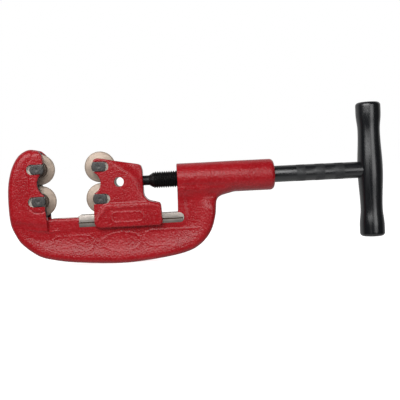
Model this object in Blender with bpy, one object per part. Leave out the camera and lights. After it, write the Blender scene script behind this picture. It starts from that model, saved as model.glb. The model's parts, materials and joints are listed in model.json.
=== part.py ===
"""Four-wheel pipe cutter: cast frame, slide, four wheels on pins, feed screw and T-handle.

The tool stands on its belly with the throat open upwards, and is modelled about its own
feed line: X runs along the screw from the face where the barrel starts, towards the
handle, Z is measured up from the screw axis, and Y = 0 is the plane of the wheels.
The empty "cutter" carries that frame, so the world origin is the middle of the base.
All sizes below are in millimetres and are scaled once, when a mesh is stored.
"""
import math

import bmesh
import bpy
from mathutils import Matrix, Vector

MM = 0.001

# ---- placing ----
X_SHIFT = -24.35           # puts the middle of the tool's length on the world's Z axis
AXIS_HEIGHT = 90.5         # screw axis above the belly's lowest point

# ---- cutting wheels and their pins ----
JAW_WHEEL_X = -152.2
SLIDE_WHEEL_X = -84.9
WHEEL_Z = 17.65            # half the pitch of a pair of wheels
WHEEL_R = 17.2
WHEEL_EDGE_HALF = 0.15
WHEEL_DISC_R = 12.6        # where the cutting bevel starts
WHEEL_DISC_HALF = 1.9
HUB_R = 9.0
HUB_HALF = 9.4
WHEEL_BORE_R = 5.05
PIN_R = 4.75
HEAD_R = 7.45
HEAD_FLAT = 5.25           # half the distance across the head's two flats
HEAD_PROUD = 0.7
HEAD_SLOT = 5.6            # half height of the milled slot that keeps the head from turning
SLOT_DEPTH = 3.6
JAW_SLOT_BACK = 11.2       # from a pin's centre to the closed end of its head slot
SLIDE_SLOT_BACK = 10.7
PIN_TAIL = 0.8             # how far a pin stands out of the far cheek
CLIP_GROOVE_R = 3.8
CLIP_GROOVE_WIDTH = 1.8
CLIP_R = 7.3
CLIP_THICK = 1.2
CLIP_SLOT = 7.9            # half height of the slot milled for a clip in the far cheek
CLIP_SLOT_DEPTH = 3.6

# ---- frame ----
CHEEK_HALF = 18.0          # half width over the jaw's cheeks and the slide's
FORK_HALF = 9.8            # half width of the gap that holds the wheels
RIM_HALF = 14.5
WEB_HALF = 7.5
BEAM_HALF = 12.1
BEAM_TOP = -37.4
BEAM_BOTTOM = -50.8
WAY_HALF = 12.4
WAY_TOP = -35.0
WAY_SIDE_TOP = -37.2
WAY_SIDE_BOTTOM = -48.1
WAY_START = -110.3
WAY_TOP_END = -34.0
WAY_END = 6.2
RELIEF_HALF = 3.0          # groove down the middle of the beam, clear of the wheels' edges
RELIEF_FLOOR = -38.4
JAW_EDGE_X = -145.3
JAW_FOOT_X = -144.0
JAW_SLOT_R = 18.9
STRIP_END = 9.3            # flat strip beside the barrel's face
BARREL_R = 17.6
BARREL_END = 109.8
BARREL_BORE_R = 9.75

# ---- slide ----
SLIDE_EDGE_X = -91.6       # front edge of the slide's cheeks
SKIRT_HALF = 19.6
CHANNEL_HALF = 12.75
CHANNEL_TOP = -34.6
SKIRT_TOP = -22.5
SKIRT_BOTTOM = -50.1
SLIDE_SLOT_R = 18.7
CORE_END = -26.4           # behind this the skirts are two separate tails
CROSS_HOLE_X = -63.6
CROSS_HOLE_R = 5.3
NOSE_BORE_R = 5.85
NOSE_BORE_END = -56.0
RETAINER_X = -47.4
RETAINER_Y = 6.25
RETAINER_R = 1.8
RETAINER_BOTTOM = -13.0
RETAINER_TOP = 19.0

# ---- feed screw and handle ----
NOSE_R = 5.5
NOSE_END = -53.1
NOSE_GROOVE_R = 4.1
NOSE_GROOVE_HALF = 2.3
CONE_START = -31.0
THREAD_START = -24.3
THREAD_R = 9.3
THREAD_END = 72.0
SHANK_R = 9.3
SHANK_END = 222.2
BAR_X = 221.0
BAR_HALF = 76.2
BAR_BELLY_R = 14.3
BAR_WAIST_R = 12.4
BAR_WAIST_Z = 44.0
BAR_BULGE_R = 14.1
BAR_BULGE_Z = 64.5
BAR_CORNER = 4.0
BAR_BORE_R = 9.6
SET_SCREW_R = 3.0

GAP = 0.3                  # kept between pieces that touch
MANY = 36                  # sides of a large round piece
SOME = 28
FEW = 16

# ---- finishes: linear colour, roughness, metallic ----
RED_PAINT = ((0.36, 0.012, 0.02), 0.38, 0.0)
WHEEL_STEEL = ((0.45, 0.37, 0.30), 0.42, 0.9)
DARK_STEEL = ((0.07, 0.08, 0.085), 0.40, 0.9)
BLACK_OXIDE = ((0.012, 0.012, 0.013), 0.35, 0.6)
BLACK_ENAMEL = ((0.010, 0.011, 0.013), 0.22, 0.0)
SPRING_STEEL = ((0.30, 0.30, 0.31), 0.35, 1.0)


def clear_scene():
    for obj in list(bpy.data.objects):
        bpy.data.objects.remove(obj, do_unlink=True)


def finish_material(name, finish):
    """Principled material for one part."""
    colour, roughness, metallic = finish
    material = bpy.data.materials.new(name)
    material.use_nodes = True
    shader = material.node_tree.nodes["Principled BSDF"]
    shader.inputs["Base Color"].default_value = (*colour, 1.0)
    shader.inputs["Roughness"].default_value = roughness
    shader.inputs["Metallic"].default_value = metallic
    return material


# ---- outlines in the XZ plane ----

def arc(x, z, radius, start_deg, end_deg, steps):
    """Points along an arc, both ends included."""
    angles = [math.radians(start_deg + (end_deg - start_deg) * i / steps) for i in range(steps + 1)]
    return [(x + radius * math.cos(a), z + radius * math.sin(a)) for a in angles]


def bow(start, end, sag, steps):
    """Arc from start to end that bows to the left of the line between them by sag."""
    (x0, z0), (x1, z1) = start, end
    chord = math.hypot(x1 - x0, z1 - z0)
    radius = (chord * chord / 4 + sag * sag) / (2 * sag)
    along = ((x1 - x0) / chord, (z1 - z0) / chord)
    left = (-along[1], along[0])
    centre = ((x0 + x1) / 2 + left[0] * (sag - radius), (z0 + z1) / 2 + left[1] * (sag - radius))
    half = math.asin(min(1.0, chord / (2 * radius)))
    points = []
    for i in range(steps + 1):
        turn = half * (2 * i / steps - 1)
        reach, rise = radius * math.sin(turn), radius * math.cos(turn)
        points.append((centre[0] + along[0] * reach + left[0] * rise,
                       centre[1] + along[1] * reach + left[1] * rise))
    return points


def curve_through(knots, steps, closed=False):
    """Smooth curve through the knots, with steps points between each pair."""
    count = len(knots)
    spans = count if closed else count - 1
    points = []
    for i in range(spans):
        if closed:
            p0, p1, p2, p3 = (knots[(i + k) % count] for k in (-1, 0, 1, 2))
        else:
            p0, p1, p2, p3 = (knots[min(max(i + k, 0), count - 1)] for k in (-1, 0, 1, 2))
        for j in range(steps):
            t = j / steps
            points.append(tuple(
                0.5 * (2 * b + (c - a) * t + (2 * a - 5 * b + 4 * c - d) * t * t
                       + (3 * b - a - 3 * c + d) * t * t * t)
                for a, b, c, d in zip(p0, p1, p2, p3)))
    if not closed:
        points.append(knots[-1])
    return points


def rounded(corners, steps=4):
    """Closed outline from (x, z, radius) corners, each rounded to its radius."""
    points = []
    count = len(corners)
    for i, (x, z, radius) in enumerate(corners):
        here = Vector((x, z))
        before = (Vector(corners[i - 1][:2]) - here).normalized()
        after = (Vector(corners[(i + 1) % count][:2]) - here).normalized()
        if radius == 0:
            points.append((x, z))
            continue
        half = before.angle(after) / 2
        reach = radius / math.tan(half)
        centre = here + (before + after).normalized() * (radius / math.sin(half))
        first = here + before * reach - centre
        last = here + after * reach - centre
        sweep = first.angle_signed(last)
        for j in range(steps + 1):
            spoke = Matrix.Rotation(-sweep * j / steps, 2) @ first
            points.append(tuple(centre + spoke))
    return points


# ---- meshes ----

def prism(points, y_low, y_high):
    """Solid with an XZ outline between two Y planes."""
    bm = bmesh.new()
    near = [bm.verts.new((x, y_low, z)) for x, z in points]
    far = [bm.verts.new((x, y_high, z)) for x, z in points]
    bm.faces.new(near)
    bm.faces.new(list(reversed(far)))
    count = len(points)
    for i in range(count):
        j = (i + 1) % count
        bm.faces.new((near[j], near[i], far[i], far[j]))
    bmesh.ops.recalc_face_normals(bm, faces=bm.faces)
    return bm


def round_rim(bm, points, half, width, steps):
    """Bevel the two edges of a prism that run along the given points."""
    kept = {(round(x, 4), round(z, 4)) for x, z in points}

    def on_rim(vert):
        return (round(vert.co.x, 4), round(vert.co.z, 4)) in kept

    edges = [e for e in bm.edges
             if abs(abs(e.verts[0].co.y) - half) < 1e-4
             and abs(e.verts[0].co.y - e.verts[1].co.y) < 1e-4
             and on_rim(e.verts[0]) and on_rim(e.verts[1])]
    bmesh.ops.bevel(bm, geom=edges, offset=width, offset_type="OFFSET", segments=steps,
                    profile=0.5, affect="EDGES", clamp_overlap=True)


def turned(profile, sides, direction):
    """Solid of revolution: profile is (along, radius) from end to end, about direction."""
    bm = bmesh.new()
    rings = []
    for along, radius in profile:
        if radius == 0:
            rings.append([bm.verts.new((0, 0, along))])
            continue
        ring = []
        for i in range(sides):
            a = 2 * math.pi * i / sides
            ring.append(bm.verts.new((radius * math.cos(a), radius * math.sin(a), along)))
        rings.append(ring)
    for low, high in zip(rings, rings[1:]):
        for i in range(sides):
            j = (i + 1) % sides
            corners = [low[i % len(low)], low[j % len(low)], high[j % len(high)], high[i % len(high)]]
            bm.faces.new(list(dict.fromkeys(corners)))
    for ring in (rings[0], rings[-1]):
        if len(ring) > 1:
            bm.faces.new(ring)
    bmesh.ops.recalc_face_normals(bm, faces=bm.faces)
    turn = Vector((0, 0, 1)).rotation_difference(Vector(direction)).to_matrix()
    bmesh.ops.transform(bm, matrix=turn.to_4x4(), verts=bm.verts)
    return bm


def turned_ring(profile, sides, direction):
    """Ring of revolution from a closed (along, radius) section that stays off the axis."""
    bm = bmesh.new()
    rings = []
    for i in range(sides):
        a = 2 * math.pi * i / sides
        rings.append([bm.verts.new((r * math.cos(a), r * math.sin(a), s)) for s, r in profile])
    count = len(profile)
    for i in range(sides):
        here, after = rings[i], rings[(i + 1) % sides]
        for k in range(count):
            n = (k + 1) % count
            bm.faces.new((here[k], after[k], after[n], here[n]))
    bmesh.ops.recalc_face_normals(bm, faces=bm.faces)
    turn = Vector((0, 0, 1)).rotation_difference(Vector(direction)).to_matrix()
    bmesh.ops.transform(bm, matrix=turn.to_4x4(), verts=bm.verts)
    return bm


def block(low, high):
    """Box between two corners."""
    outline = [(low[0], low[2]), (high[0], low[2]), (high[0], high[2]), (low[0], high[2])]
    return prism(outline, low[1], high[1])


def rod(start, end, radius, sides=FEW):
    """Plain cylinder between two points."""
    start, end = Vector(start), Vector(end)
    bm = turned([(0, radius), ((end - start).length, radius)], sides, (end - start).normalized())
    bmesh.ops.translate(bm, vec=start, verts=bm.verts)
    return bm


def store(name, bm, parent, centre=(0, 0, 0)):
    """Object from a millimetre mesh whose zero is at centre, in its parent's frame."""
    bmesh.ops.scale(bm, vec=(MM, MM, MM), verts=bm.verts)
    mesh = bpy.data.meshes.new(name)
    bm.to_mesh(mesh)
    bm.free()
    obj = bpy.data.objects.new(name, mesh)
    bpy.context.scene.collection.objects.link(obj)
    obj.parent = parent
    obj.location = Vector(centre) * MM
    return obj


def part(name, bm, finish, parent, centre=(0, 0, 0), round_shape=True):
    obj = store(name, bm, parent, centre)
    obj.data.materials.append(finish_material(name, finish))
    if round_shape:
        obj.data.shade_smooth()
        obj.data.set_sharp_from_angle(angle=math.radians(35))
    return obj


def shape(target, operation, name, bm):
    """Join a solid to target, or cut it away."""
    tool = store(name, bm, target.parent, target.location / MM)
    tool.hide_render = True
    tool.display_type = "WIRE"
    step = target.modifiers.new(name, "BOOLEAN")
    step.operation = operation
    step.solver = "EXACT"
    step.object = tool


def empty(name, parent, x=0.0, z=0.0):
    obj = bpy.data.objects.new(name, None)
    bpy.context.scene.collection.objects.link(obj)
    obj.parent = parent
    obj.location = (x * MM, 0, z * MM)
    return obj


# ---- frame casting ----

def outer_edge():
    """Back of the jaw, belly and arm, from the jaw's tip round to the barrel."""
    knots = [(-151.0, 38.8), (-161.6, 39.9), (-172.4, 33.8), (-180.3, 21.2), (-185.2, 3.8),
             (-186.6, -15.0), (-185.6, -38.8), (-180.9, -52.8), (-173.0, -65.0), (-156.4, -78.0),
             (-139.2, -83.4), (-112.8, -87.5), (-67.8, -90.5), (-31.5, -88.4), (5.0, -82.6),
             (23.5, -73.8), (35.3, -60.3), (41.1, -43.6), (43.4, -26.8), (47.0, -20.2),
             (55.0, -15.0)]
    return curve_through(knots, 2)


def jaw_mouth():
    """Front edge of the jaw's cheeks, from the foot up to the tip."""
    return ([(JAW_FOOT_X, BEAM_TOP), (JAW_EDGE_X, -23.5)]
            + bow((JAW_EDGE_X, -11.2), (JAW_EDGE_X, 14.4), 7.2, 10)
            + [(JAW_EDGE_X, 27.0), (-146.2, 33.6)])


def wheel_gap(wheel_x, radius, side, reach, bottom):
    """Outline of the space cleared for two wheels: round behind them, open in front."""
    meet = math.degrees(math.asin(WHEEL_Z / radius))
    back = arc(0, WHEEL_Z, radius, 90, -meet, 12) + arc(0, -WHEEL_Z, radius, meet, -40, 10)[1:]
    back = [(wheel_x + side * x, z) for x, z in back]
    return [(reach, 60.0), (wheel_x, 60.0)] + back + [(back[-1][0], bottom), (reach, bottom)]


def pin_slot(wheel_x, wheel_z, half, back, front):
    """Outline of a milled slot, round at its back end and open through its front end."""
    side = 1 if front < wheel_x else -1
    end_x = wheel_x + side * (back - half)
    round_end = [(end_x + side * x, wheel_z + z) for x, z in arc(0, 0, half, -90, 90, 8)]
    return round_end + [(front, wheel_z + half), (front, wheel_z - half)]


def cut_pin_seats(target, wheel_x, back, front, offset_x=0.0):
    """The holes for a pair of pins, with slots for their heads and for their clips."""
    x = wheel_x - offset_x
    reach = front - offset_x
    for end, z in (("upper", WHEEL_Z), ("lower", -WHEEL_Z)):
        shape(target, "DIFFERENCE", f"{target.name}_{end}_head_slot",
              prism(pin_slot(x, z, HEAD_SLOT, back, reach), -CHEEK_HALF - 5,
                    -CHEEK_HALF + SLOT_DEPTH))
        shape(target, "DIFFERENCE", f"{target.name}_{end}_clip_slot",
              prism(pin_slot(x, z, CLIP_SLOT, CLIP_SLOT, reach), CHEEK_HALF - CLIP_SLOT_DEPTH,
                    CHEEK_HALF + 5))
        shape(target, "DIFFERENCE", f"{target.name}_{end}_pin_hole",
              rod((x, -CHEEK_HALF - 5, z), (x, CHEEK_HALF + 5, z), PIN_R + GAP, FEW))


def build_frame(parent):
    rim = outer_edge()
    inner = [(55.0, -4.0), (0.0, -4.0), (0.0, BEAM_TOP)]
    body = prism(rim + inner + jaw_mouth(), -RIM_HALF, RIM_HALF)
    round_rim(body, rim, RIM_HALF, 6.5, 3)
    frame = part("frame_casting", body, RED_PAINT, parent)

    recess = curve_through([(-158.0, -56.0), (-120.0, -52.5), (-60.0, -51.5), (2.0, -50.5),
                            (12.5, -42.0), (15.0, -27.0), (24.0, -21.0), (33.0, -28.0),
                            (32.0, -45.0), (26.0, -58.0), (13.0, -69.5), (-32.0, -79.5),
                            (-68.0, -81.5), (-113.0, -79.0), (-142.0, -75.0), (-157.0, -67.0)],
                           2, closed=True)
    beam = [(JAW_FOOT_X - 3, -20.0), (JAW_FOOT_X - 3, BEAM_BOTTOM), (STRIP_END, BEAM_BOTTOM),
            (STRIP_END, -8.0), (-5.0, -8.0)]
    for side, tag in ((-1, "near"), (1, "far")):
        shape(frame, "DIFFERENCE", f"web_recess_{tag}",
              prism(recess, *sorted((side * WEB_HALF, side * 30))))
        shape(frame, "DIFFERENCE", f"beam_side_{tag}",
              prism(beam, *sorted((side * BEAM_HALF, side * 30))))

    jaw_back = [p for p in rim if p[1] > -62.0 and p[0] < -100]
    cheek = prism(jaw_back + [(-156.0, -58.0), (-148.0, -55.0), (JAW_FOOT_X, -50.0)]
                  + jaw_mouth(), -CHEEK_HALF, CHEEK_HALF)
    round_rim(cheek, jaw_back, CHEEK_HALF, 8.0, 3)
    shape(frame, "UNION", "jaw_cheeks", cheek)

    way = [(WAY_START, WAY_SIDE_BOTTOM)] + arc(WAY_END - 5, WAY_SIDE_BOTTOM + 5, 5, -90, 0, 4)
    way += arc(WAY_END - 5, WAY_SIDE_TOP - 5, 5, 0, 90, 4)
    way += [(WAY_TOP_END, WAY_SIDE_TOP), (WAY_TOP_END, WAY_TOP), (WAY_START, WAY_TOP)]
    shape(frame, "UNION", "machined_way", prism(way, -WAY_HALF, WAY_HALF))
    shape(frame, "UNION", "barrel",
          turned([(0.02, BARREL_R - 0.2), (60.0, BARREL_R), (BARREL_END - 4.0, BARREL_R),
                  (BARREL_END - 1.2, BARREL_R - 1.3), (BARREL_END, BARREL_R - 4.0)], SOME, (1, 0, 0)))

    shape(frame, "DIFFERENCE", "way_relief",
          block((JAW_FOOT_X - 8, -RELIEF_HALF, RELIEF_FLOOR), (-30.0, RELIEF_HALF, -20.0)))
    shape(frame, "DIFFERENCE", "jaw_wheel_gap",
          prism(wheel_gap(JAW_WHEEL_X, JAW_SLOT_R, -1, JAW_FOOT_X + 2, RELIEF_FLOOR),
                -FORK_HALF, FORK_HALF))
    shape(frame, "DIFFERENCE", "barrel_bore",
          rod((-10, 0, 0), (BARREL_END + 10, 0, 0), BARREL_BORE_R, SOME))
    cut_pin_seats(frame, JAW_WHEEL_X, JAW_SLOT_BACK, JAW_EDGE_X + 15)


# ---- slide casting ----

def slide_front():
    """Front edge of the slide's cheeks, from the foot up, hollowed between the pins."""
    hollow = bow((SLIDE_EDGE_X, 11.8), (SLIDE_EDGE_X, -11.8), 7.6, 10)
    return [(-92.6, -24.0), (SLIDE_EDGE_X, -23.5)] + hollow[::-1]


def build_slide(parent):
    cheek = ([(-92.8, SKIRT_BOTTOM + 6)] + slide_front()
             + [(SLIDE_EDGE_X, 23.5), (-90.2, 25.8), (-86.6, 27.2), (-72.0, 24.4), (-42.0, 18.8),
                (-39.0, 17.0), (-37.8, 12.0), (-37.4, -8.0)]
             + arc(-27.0, -13.0, 10.4, 180, 258, 6)
             + [(CORE_END, -23.6), (CORE_END, SKIRT_BOTTOM + 6)])
    offset = Vector((SLIDE_WHEEL_X, 0, 0))
    bm = prism(cheek, -CHEEK_HALF, CHEEK_HALF)
    bmesh.ops.translate(bm, vec=-offset, verts=bm.verts)
    slide = part("slide_casting", bm, RED_PAINT, parent, offset)

    def moved(solid):
        bmesh.ops.translate(solid, vec=-offset, verts=solid.verts)
        return solid

    skirt = rounded([(-93.0, SKIRT_BOTTOM, 6.0), (-92.6, -41.0, 2.0), (-80.0, SKIRT_TOP - 0.5, 3.0),
                     (-29.0, SKIRT_TOP - 1.2, 3.0), (-18.8, -27.6, 2.5), (-17.6, SKIRT_BOTTOM, 3.0)])
    shape(slide, "UNION", "skirt", moved(prism(skirt, -SKIRT_HALF, SKIRT_HALF)))
    shape(slide, "DIFFERENCE", "channel",
          moved(block((-130, -CHANNEL_HALF, -60), (20, CHANNEL_HALF, CHANNEL_TOP))))
    shape(slide, "DIFFERENCE", "tail_gap",
          moved(block((CORE_END, -CHANNEL_HALF, -60), (20, CHANNEL_HALF, -10))))
    shape(slide, "DIFFERENCE", "slide_wheel_gap",
          moved(prism(wheel_gap(SLIDE_WHEEL_X, SLIDE_SLOT_R, 1, -120.0, -60.0),
                      -FORK_HALF, FORK_HALF)))
    shape(slide, "DIFFERENCE", "cross_hole",
          moved(rod((CROSS_HOLE_X, -30, 0), (CROSS_HOLE_X, 30, 0), CROSS_HOLE_R, FEW)))
    shape(slide, "DIFFERENCE", "nose_bore",
          moved(rod((-20, 0, 0), (NOSE_BORE_END, 0, 0), NOSE_BORE_R, FEW)))
    for tag, y in (("near", -RETAINER_Y), ("far", RETAINER_Y)):
        shape(slide, "DIFFERENCE", f"retainer_hole_{tag}",
              moved(rod((RETAINER_X, y, RETAINER_BOTTOM - GAP), (RETAINER_X, y, 40),
                        RETAINER_R + GAP, 12)))
    cut_pin_seats(slide, SLIDE_WHEEL_X, SLIDE_SLOT_BACK, SLIDE_EDGE_X - 18,
                  offset_x=SLIDE_WHEEL_X)


# ---- wheels and pins ----

def wheel_section():
    """Half section of a cutting wheel as (along, radius), round its bore."""
    near_side = [(-HUB_HALF, WHEEL_BORE_R), (-HUB_HALF, HUB_R), (-WHEEL_DISC_HALF, HUB_R),
                 (-WHEEL_DISC_HALF, WHEEL_DISC_R), (-WHEEL_EDGE_HALF, WHEEL_R)]
    return near_side + [(-along, radius) for along, radius in reversed(near_side)]


def pin_profile():
    """Shank of a pin as (along, radius) from under its head to its tip."""
    far = CHEEK_HALF + PIN_TAIL
    groove = CHEEK_HALF - CLIP_SLOT_DEPTH + GAP
    return [(-CHEEK_HALF + SLOT_DEPTH - 1.0, PIN_R), (groove, PIN_R), (groove, CLIP_GROOVE_R),
            (groove + CLIP_GROOVE_WIDTH, CLIP_GROOVE_R), (groove + CLIP_GROOVE_WIDTH, PIN_R),
            (far - 0.8, PIN_R), (far, PIN_R - 0.8)]


def pin_head():
    """Round head with two flats, as an XZ outline about the pin's axis."""
    flat_deg = math.degrees(math.asin(HEAD_FLAT / HEAD_R))
    return arc(0, 0, HEAD_R, -flat_deg, flat_deg, 6) + arc(0, 0, HEAD_R, 180 - flat_deg,
                                                         180 + flat_deg, 6)


def build_wheel_set(place, end, frame_parent, wheel_parent, x, z):
    """One wheel on its joint, with its pin and the clip behind the far cheek."""
    part(f"{place}_wheel_{end}", turned_ring(wheel_section(), MANY, (0, 1, 0)), WHEEL_STEEL,
         wheel_parent)
    pin = part(f"{place}_pin_{end}", turned(pin_profile(), FEW, (0, 1, 0)), DARK_STEEL,
               frame_parent, (x, 0, z))
    under = -CHEEK_HALF + SLOT_DEPTH - GAP
    shape(pin, "UNION", f"{place}_head_{end}", prism(pin_head(), -CHEEK_HALF - HEAD_PROUD, under))
    start = CHEEK_HALF - CLIP_SLOT_DEPTH + GAP + (CLIP_GROOVE_WIDTH - CLIP_THICK) / 2
    mouth = 28
    clip = (arc(0, 0, CLIP_R, -90 + mouth, 270 - mouth, 16)
            + arc(0, 0, CLIP_GROOVE_R + GAP, 270 - mouth, -90 + mouth, 16))
    part(f"{place}_clip_{end}", prism(clip, start, start + CLIP_THICK), SPRING_STEEL,
         frame_parent, (x, 0, z))


# ---- feed screw, handle and what holds them ----

def build_screw(parent):
    groove_low = RETAINER_X - NOSE_GROOVE_HALF
    groove_high = RETAINER_X + NOSE_GROOVE_HALF
    profile = [(NOSE_END, NOSE_R - 1.0), (NOSE_END + 1.0, NOSE_R), (groove_low, NOSE_R),
               (groove_low, NOSE_GROOVE_R), (groove_high, NOSE_GROOVE_R), (groove_high, NOSE_R),
               (CONE_START, NOSE_R), (THREAD_START, THREAD_R), (THREAD_END, THREAD_R),
               (THREAD_END + 0.6, SHANK_R - 0.2), (SHANK_END - 1.0, SHANK_R - 0.2),
               (SHANK_END, SHANK_R - 1.2)]
    part("feed_screw", turned(profile, SOME, (1, 0, 0)), BLACK_OXIDE, parent)


def bar_radius(z):
    """T-bar's radius: full at the middle, waisted, then full again near the ends."""
    z = abs(z)
    if z < BAR_WAIST_Z:
        blend = 0.5 - 0.5 * math.cos(math.pi * z / BAR_WAIST_Z)
        return BAR_BELLY_R + (BAR_WAIST_R - BAR_BELLY_R) * blend
    blend = 0.5 - 0.5 * math.cos(math.pi * min(1.0, (z - BAR_WAIST_Z) / (BAR_BULGE_Z - BAR_WAIST_Z)))
    return BAR_WAIST_R + (BAR_BULGE_R - BAR_WAIST_R) * blend


def build_handle(parent):
    straight = BAR_HALF - BAR_CORNER
    stations = [straight * i / 7 for i in range(-7, 8)]
    corner = [(straight + BAR_CORNER * math.sin(math.radians(a)),
               BAR_BULGE_R - BAR_CORNER + BAR_CORNER * math.cos(math.radians(a))) for a in (45, 90)]
    profile = ([(-z, r) for z, r in reversed(corner)] + [(z, bar_radius(z)) for z in stations]
               + corner)
    bar = part("t_handle", turned(profile, SOME, (0, 0, 1)), BLACK_ENAMEL, parent, (BAR_X, 0, 0))
    shape(bar, "DIFFERENCE", "handle_bore",
          rod((-40, 0, 0), (SHANK_END + GAP - BAR_X, 0, 0), BAR_BORE_R, FEW))
    shape(bar, "DIFFERENCE", "set_screw_hole",
          rod((-6, 0, 0), (-6, 30, 0), SET_SCREW_R + GAP, 12))
    screw = part("handle_set_screw",
                 rod((0, SHANK_R + GAP, 0), (0, BAR_BELLY_R - 1.9, 0), SET_SCREW_R, 16),
                 DARK_STEEL, parent, (BAR_X - 6, 0, 0))
    socket = [(1.7 * math.cos(math.radians(60 * i)), 1.7 * math.sin(math.radians(60 * i)))
              for i in range(6)]
    shape(screw, "DIFFERENCE", "set_screw_socket", prism(socket, BAR_BELLY_R - 4.0, 30))


def build_retainers(parent):
    for tag, y in (("near", -RETAINER_Y), ("far", RETAINER_Y)):
        part(f"screw_retaining_pin_{tag}",
             rod((RETAINER_X, y, RETAINER_BOTTOM), (RETAINER_X, y, RETAINER_TOP), RETAINER_R, 12),
             SPRING_STEEL, parent)
    part("thrust_button", rod((NOSE_BORE_END + GAP, 0, 0), (NOSE_END - GAP, 0, 0), 5.4, FEW),
         DARK_STEEL, parent)


def main():
    clear_scene()
    cutter = empty("cutter", None, X_SHIFT, AXIS_HEIGHT)
    build_frame(cutter)
    build_slide(cutter)
    for place, x in (("jaw", JAW_WHEEL_X), ("slide", SLIDE_WHEEL_X)):
        for end, z in (("upper", WHEEL_Z), ("lower", -WHEEL_Z)):
            axle = empty(f"{place}_axle_{end}", cutter, x, z)
            build_wheel_set(place, end, cutter, axle, x, z)
    build_retainers(cutter)
    build_screw(cutter)
    build_handle(cutter)


if __name__ == "__main__":
    main()
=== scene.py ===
"""Looks of the four-wheel pipe cutter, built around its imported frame.

Laid out as an add-on: property groups hold the sizes and colours, each piece or group of
like pieces has an operator, and a panel lists them. Run as a script it makes the tool and
its studio. Lengths are in millimetres about the feed line (X along the screw from the
barrel's face towards the handle, Z up from the screw's axis) until a mesh is stored.
"""
import json
import math

import bmesh
import bpy
import numpy as np
from mathutils import Matrix, Vector


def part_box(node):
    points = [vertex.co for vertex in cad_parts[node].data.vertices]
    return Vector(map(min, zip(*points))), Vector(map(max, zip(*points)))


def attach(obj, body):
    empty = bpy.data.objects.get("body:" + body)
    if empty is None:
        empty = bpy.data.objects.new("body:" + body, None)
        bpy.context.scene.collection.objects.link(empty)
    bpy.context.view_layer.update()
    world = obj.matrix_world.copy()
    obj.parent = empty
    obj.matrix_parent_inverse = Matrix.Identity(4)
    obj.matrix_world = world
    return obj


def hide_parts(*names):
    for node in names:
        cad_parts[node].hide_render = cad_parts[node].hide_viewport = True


bl_info = {
    "name": "Pipe Cutter Looks",
    "version": (1, 0, 0),
    "blender": (4, 5, 0),
    "location": "View3D > Sidebar > Pipe Cutter",
    "description": "Makes the visible pieces of a four-wheel pipe cutter and its studio",
    "category": "Object",
}

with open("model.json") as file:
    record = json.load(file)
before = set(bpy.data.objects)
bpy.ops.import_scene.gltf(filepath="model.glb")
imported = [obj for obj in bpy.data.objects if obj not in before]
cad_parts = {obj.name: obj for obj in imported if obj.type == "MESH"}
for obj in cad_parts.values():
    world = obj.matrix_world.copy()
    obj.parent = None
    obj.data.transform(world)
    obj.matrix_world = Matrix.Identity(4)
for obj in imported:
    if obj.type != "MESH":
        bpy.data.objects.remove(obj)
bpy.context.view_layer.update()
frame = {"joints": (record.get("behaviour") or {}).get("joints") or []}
JOINTS = {joint["name"]: joint for joint in frame["joints"]}
MM = 0.001

# ---- places read from the frame, in metres ----
FEED_LINE = Vector(JOINTS["screw_turn"]["pos_m"])
WHEELS = {"jaw_wheel_upper": "jaw_wheel_a", "jaw_wheel_lower": "jaw_wheel_b",
          "slide_wheel_upper": "slide_wheel_a", "slide_wheel_lower": "slide_wheel_b"}
JAW_WHEEL_X = (JOINTS["jaw_wheel_upper_spin"]["pos_m"][0] - FEED_LINE.x) / MM
SLIDE_WHEEL_X = (JOINTS["slide_wheel_upper_spin"]["pos_m"][0] - FEED_LINE.x) / MM
WHEEL_Z = (JOINTS["jaw_wheel_upper_spin"]["pos_m"][2] - FEED_LINE.z) / MM
BARREL_END = (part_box("frame_casting")[1].x - FEED_LINE.x) / MM
BAR_X = ((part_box("t_handle")[0].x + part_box("t_handle")[1].x) / 2 - FEED_LINE.x) / MM
BAR_HALF = (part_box("t_handle")[1].z - FEED_LINE.z) / MM
SHANK_END = (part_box("feed_screw")[1].x - FEED_LINE.x) / MM
CHEEK_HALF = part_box("frame_casting")[1].y / MM

# ---- sizes that the castings share, in millimetres ----
FORK_HALF = 9.8
PIN_R = 4.75
PIN_CLEARANCE = 0.3
HEAD_R = 7.45
HEAD_FLAT = 5.25
HEAD_PROUD = 0.7
HEAD_SLOT = 5.6
CLIP_SLOT = 7.9
SLOT_DEPTH = 3.6
JAW_SLOT_BACK = 11.2       # from a pin's centre to the round end of its slot
SLIDE_SLOT_BACK = 10.7
JAW_GAP_R = 18.9           # room cleared round the wheels
SLIDE_GAP_R = 18.7
HUB_R = 9.0
HUB_HALF = 9.4
BEAM_HALF = 12.1
BEAM_TOP = -37.4
BEAM_BOTTOM = -50.8
WAY_START = -110.3
WAY_HALF = 12.4
STRIP_END = 8.3            # flat strip below the ways and beside the barrel's face
STRIP_BOTTOM = -49.7
WEB_HALF = 11.3            # half widths of the belly's hollow, its rim and the jaw
RIM_HALF = 14.9
JAW_HALF = 17.1
BARREL_R = 17.3
BORE_R = 9.75
PAINT_GAP = 0.12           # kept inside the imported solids, so that grain stays in their box
SHARP_DEG = 42             # corners of a casting that are sharper than this shade crisp
SHADE_REACH = 19.4        # painted shade in the forks reaches this far round a wheel's centre, and stays below the next height
SHADE_TOP = 24.0
CROSS_HOLE_X = -63.6
CROSS_HOLE_R = 5.3
SPRING_PIN_X = -47.4
SPRING_PIN_Y = 6.25
SPRING_PIN_R = 1.8
NOSE_R = 5.5
CONE_START = -31.0
BARE_NOSE_END = -43.0
THREAD_END = 72.0
THREAD_DEPTH = 0.6134      # of the pitch, for a 60 degree thread
SHANK_R = 9.3
BAR_BORE_R = 9.5


# ---- colours and sizes that a user would change ----

def linear(hex_colour):
    """sRGB hex to the linear colour that shaders take."""
    channels = [int(hex_colour[i:i + 2], 16) / 255 for i in (1, 3, 5)]
    return tuple(c / 12.92 if c <= 0.04045 else ((c + 0.055) / 1.055) ** 2.4 for c in channels)


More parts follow.
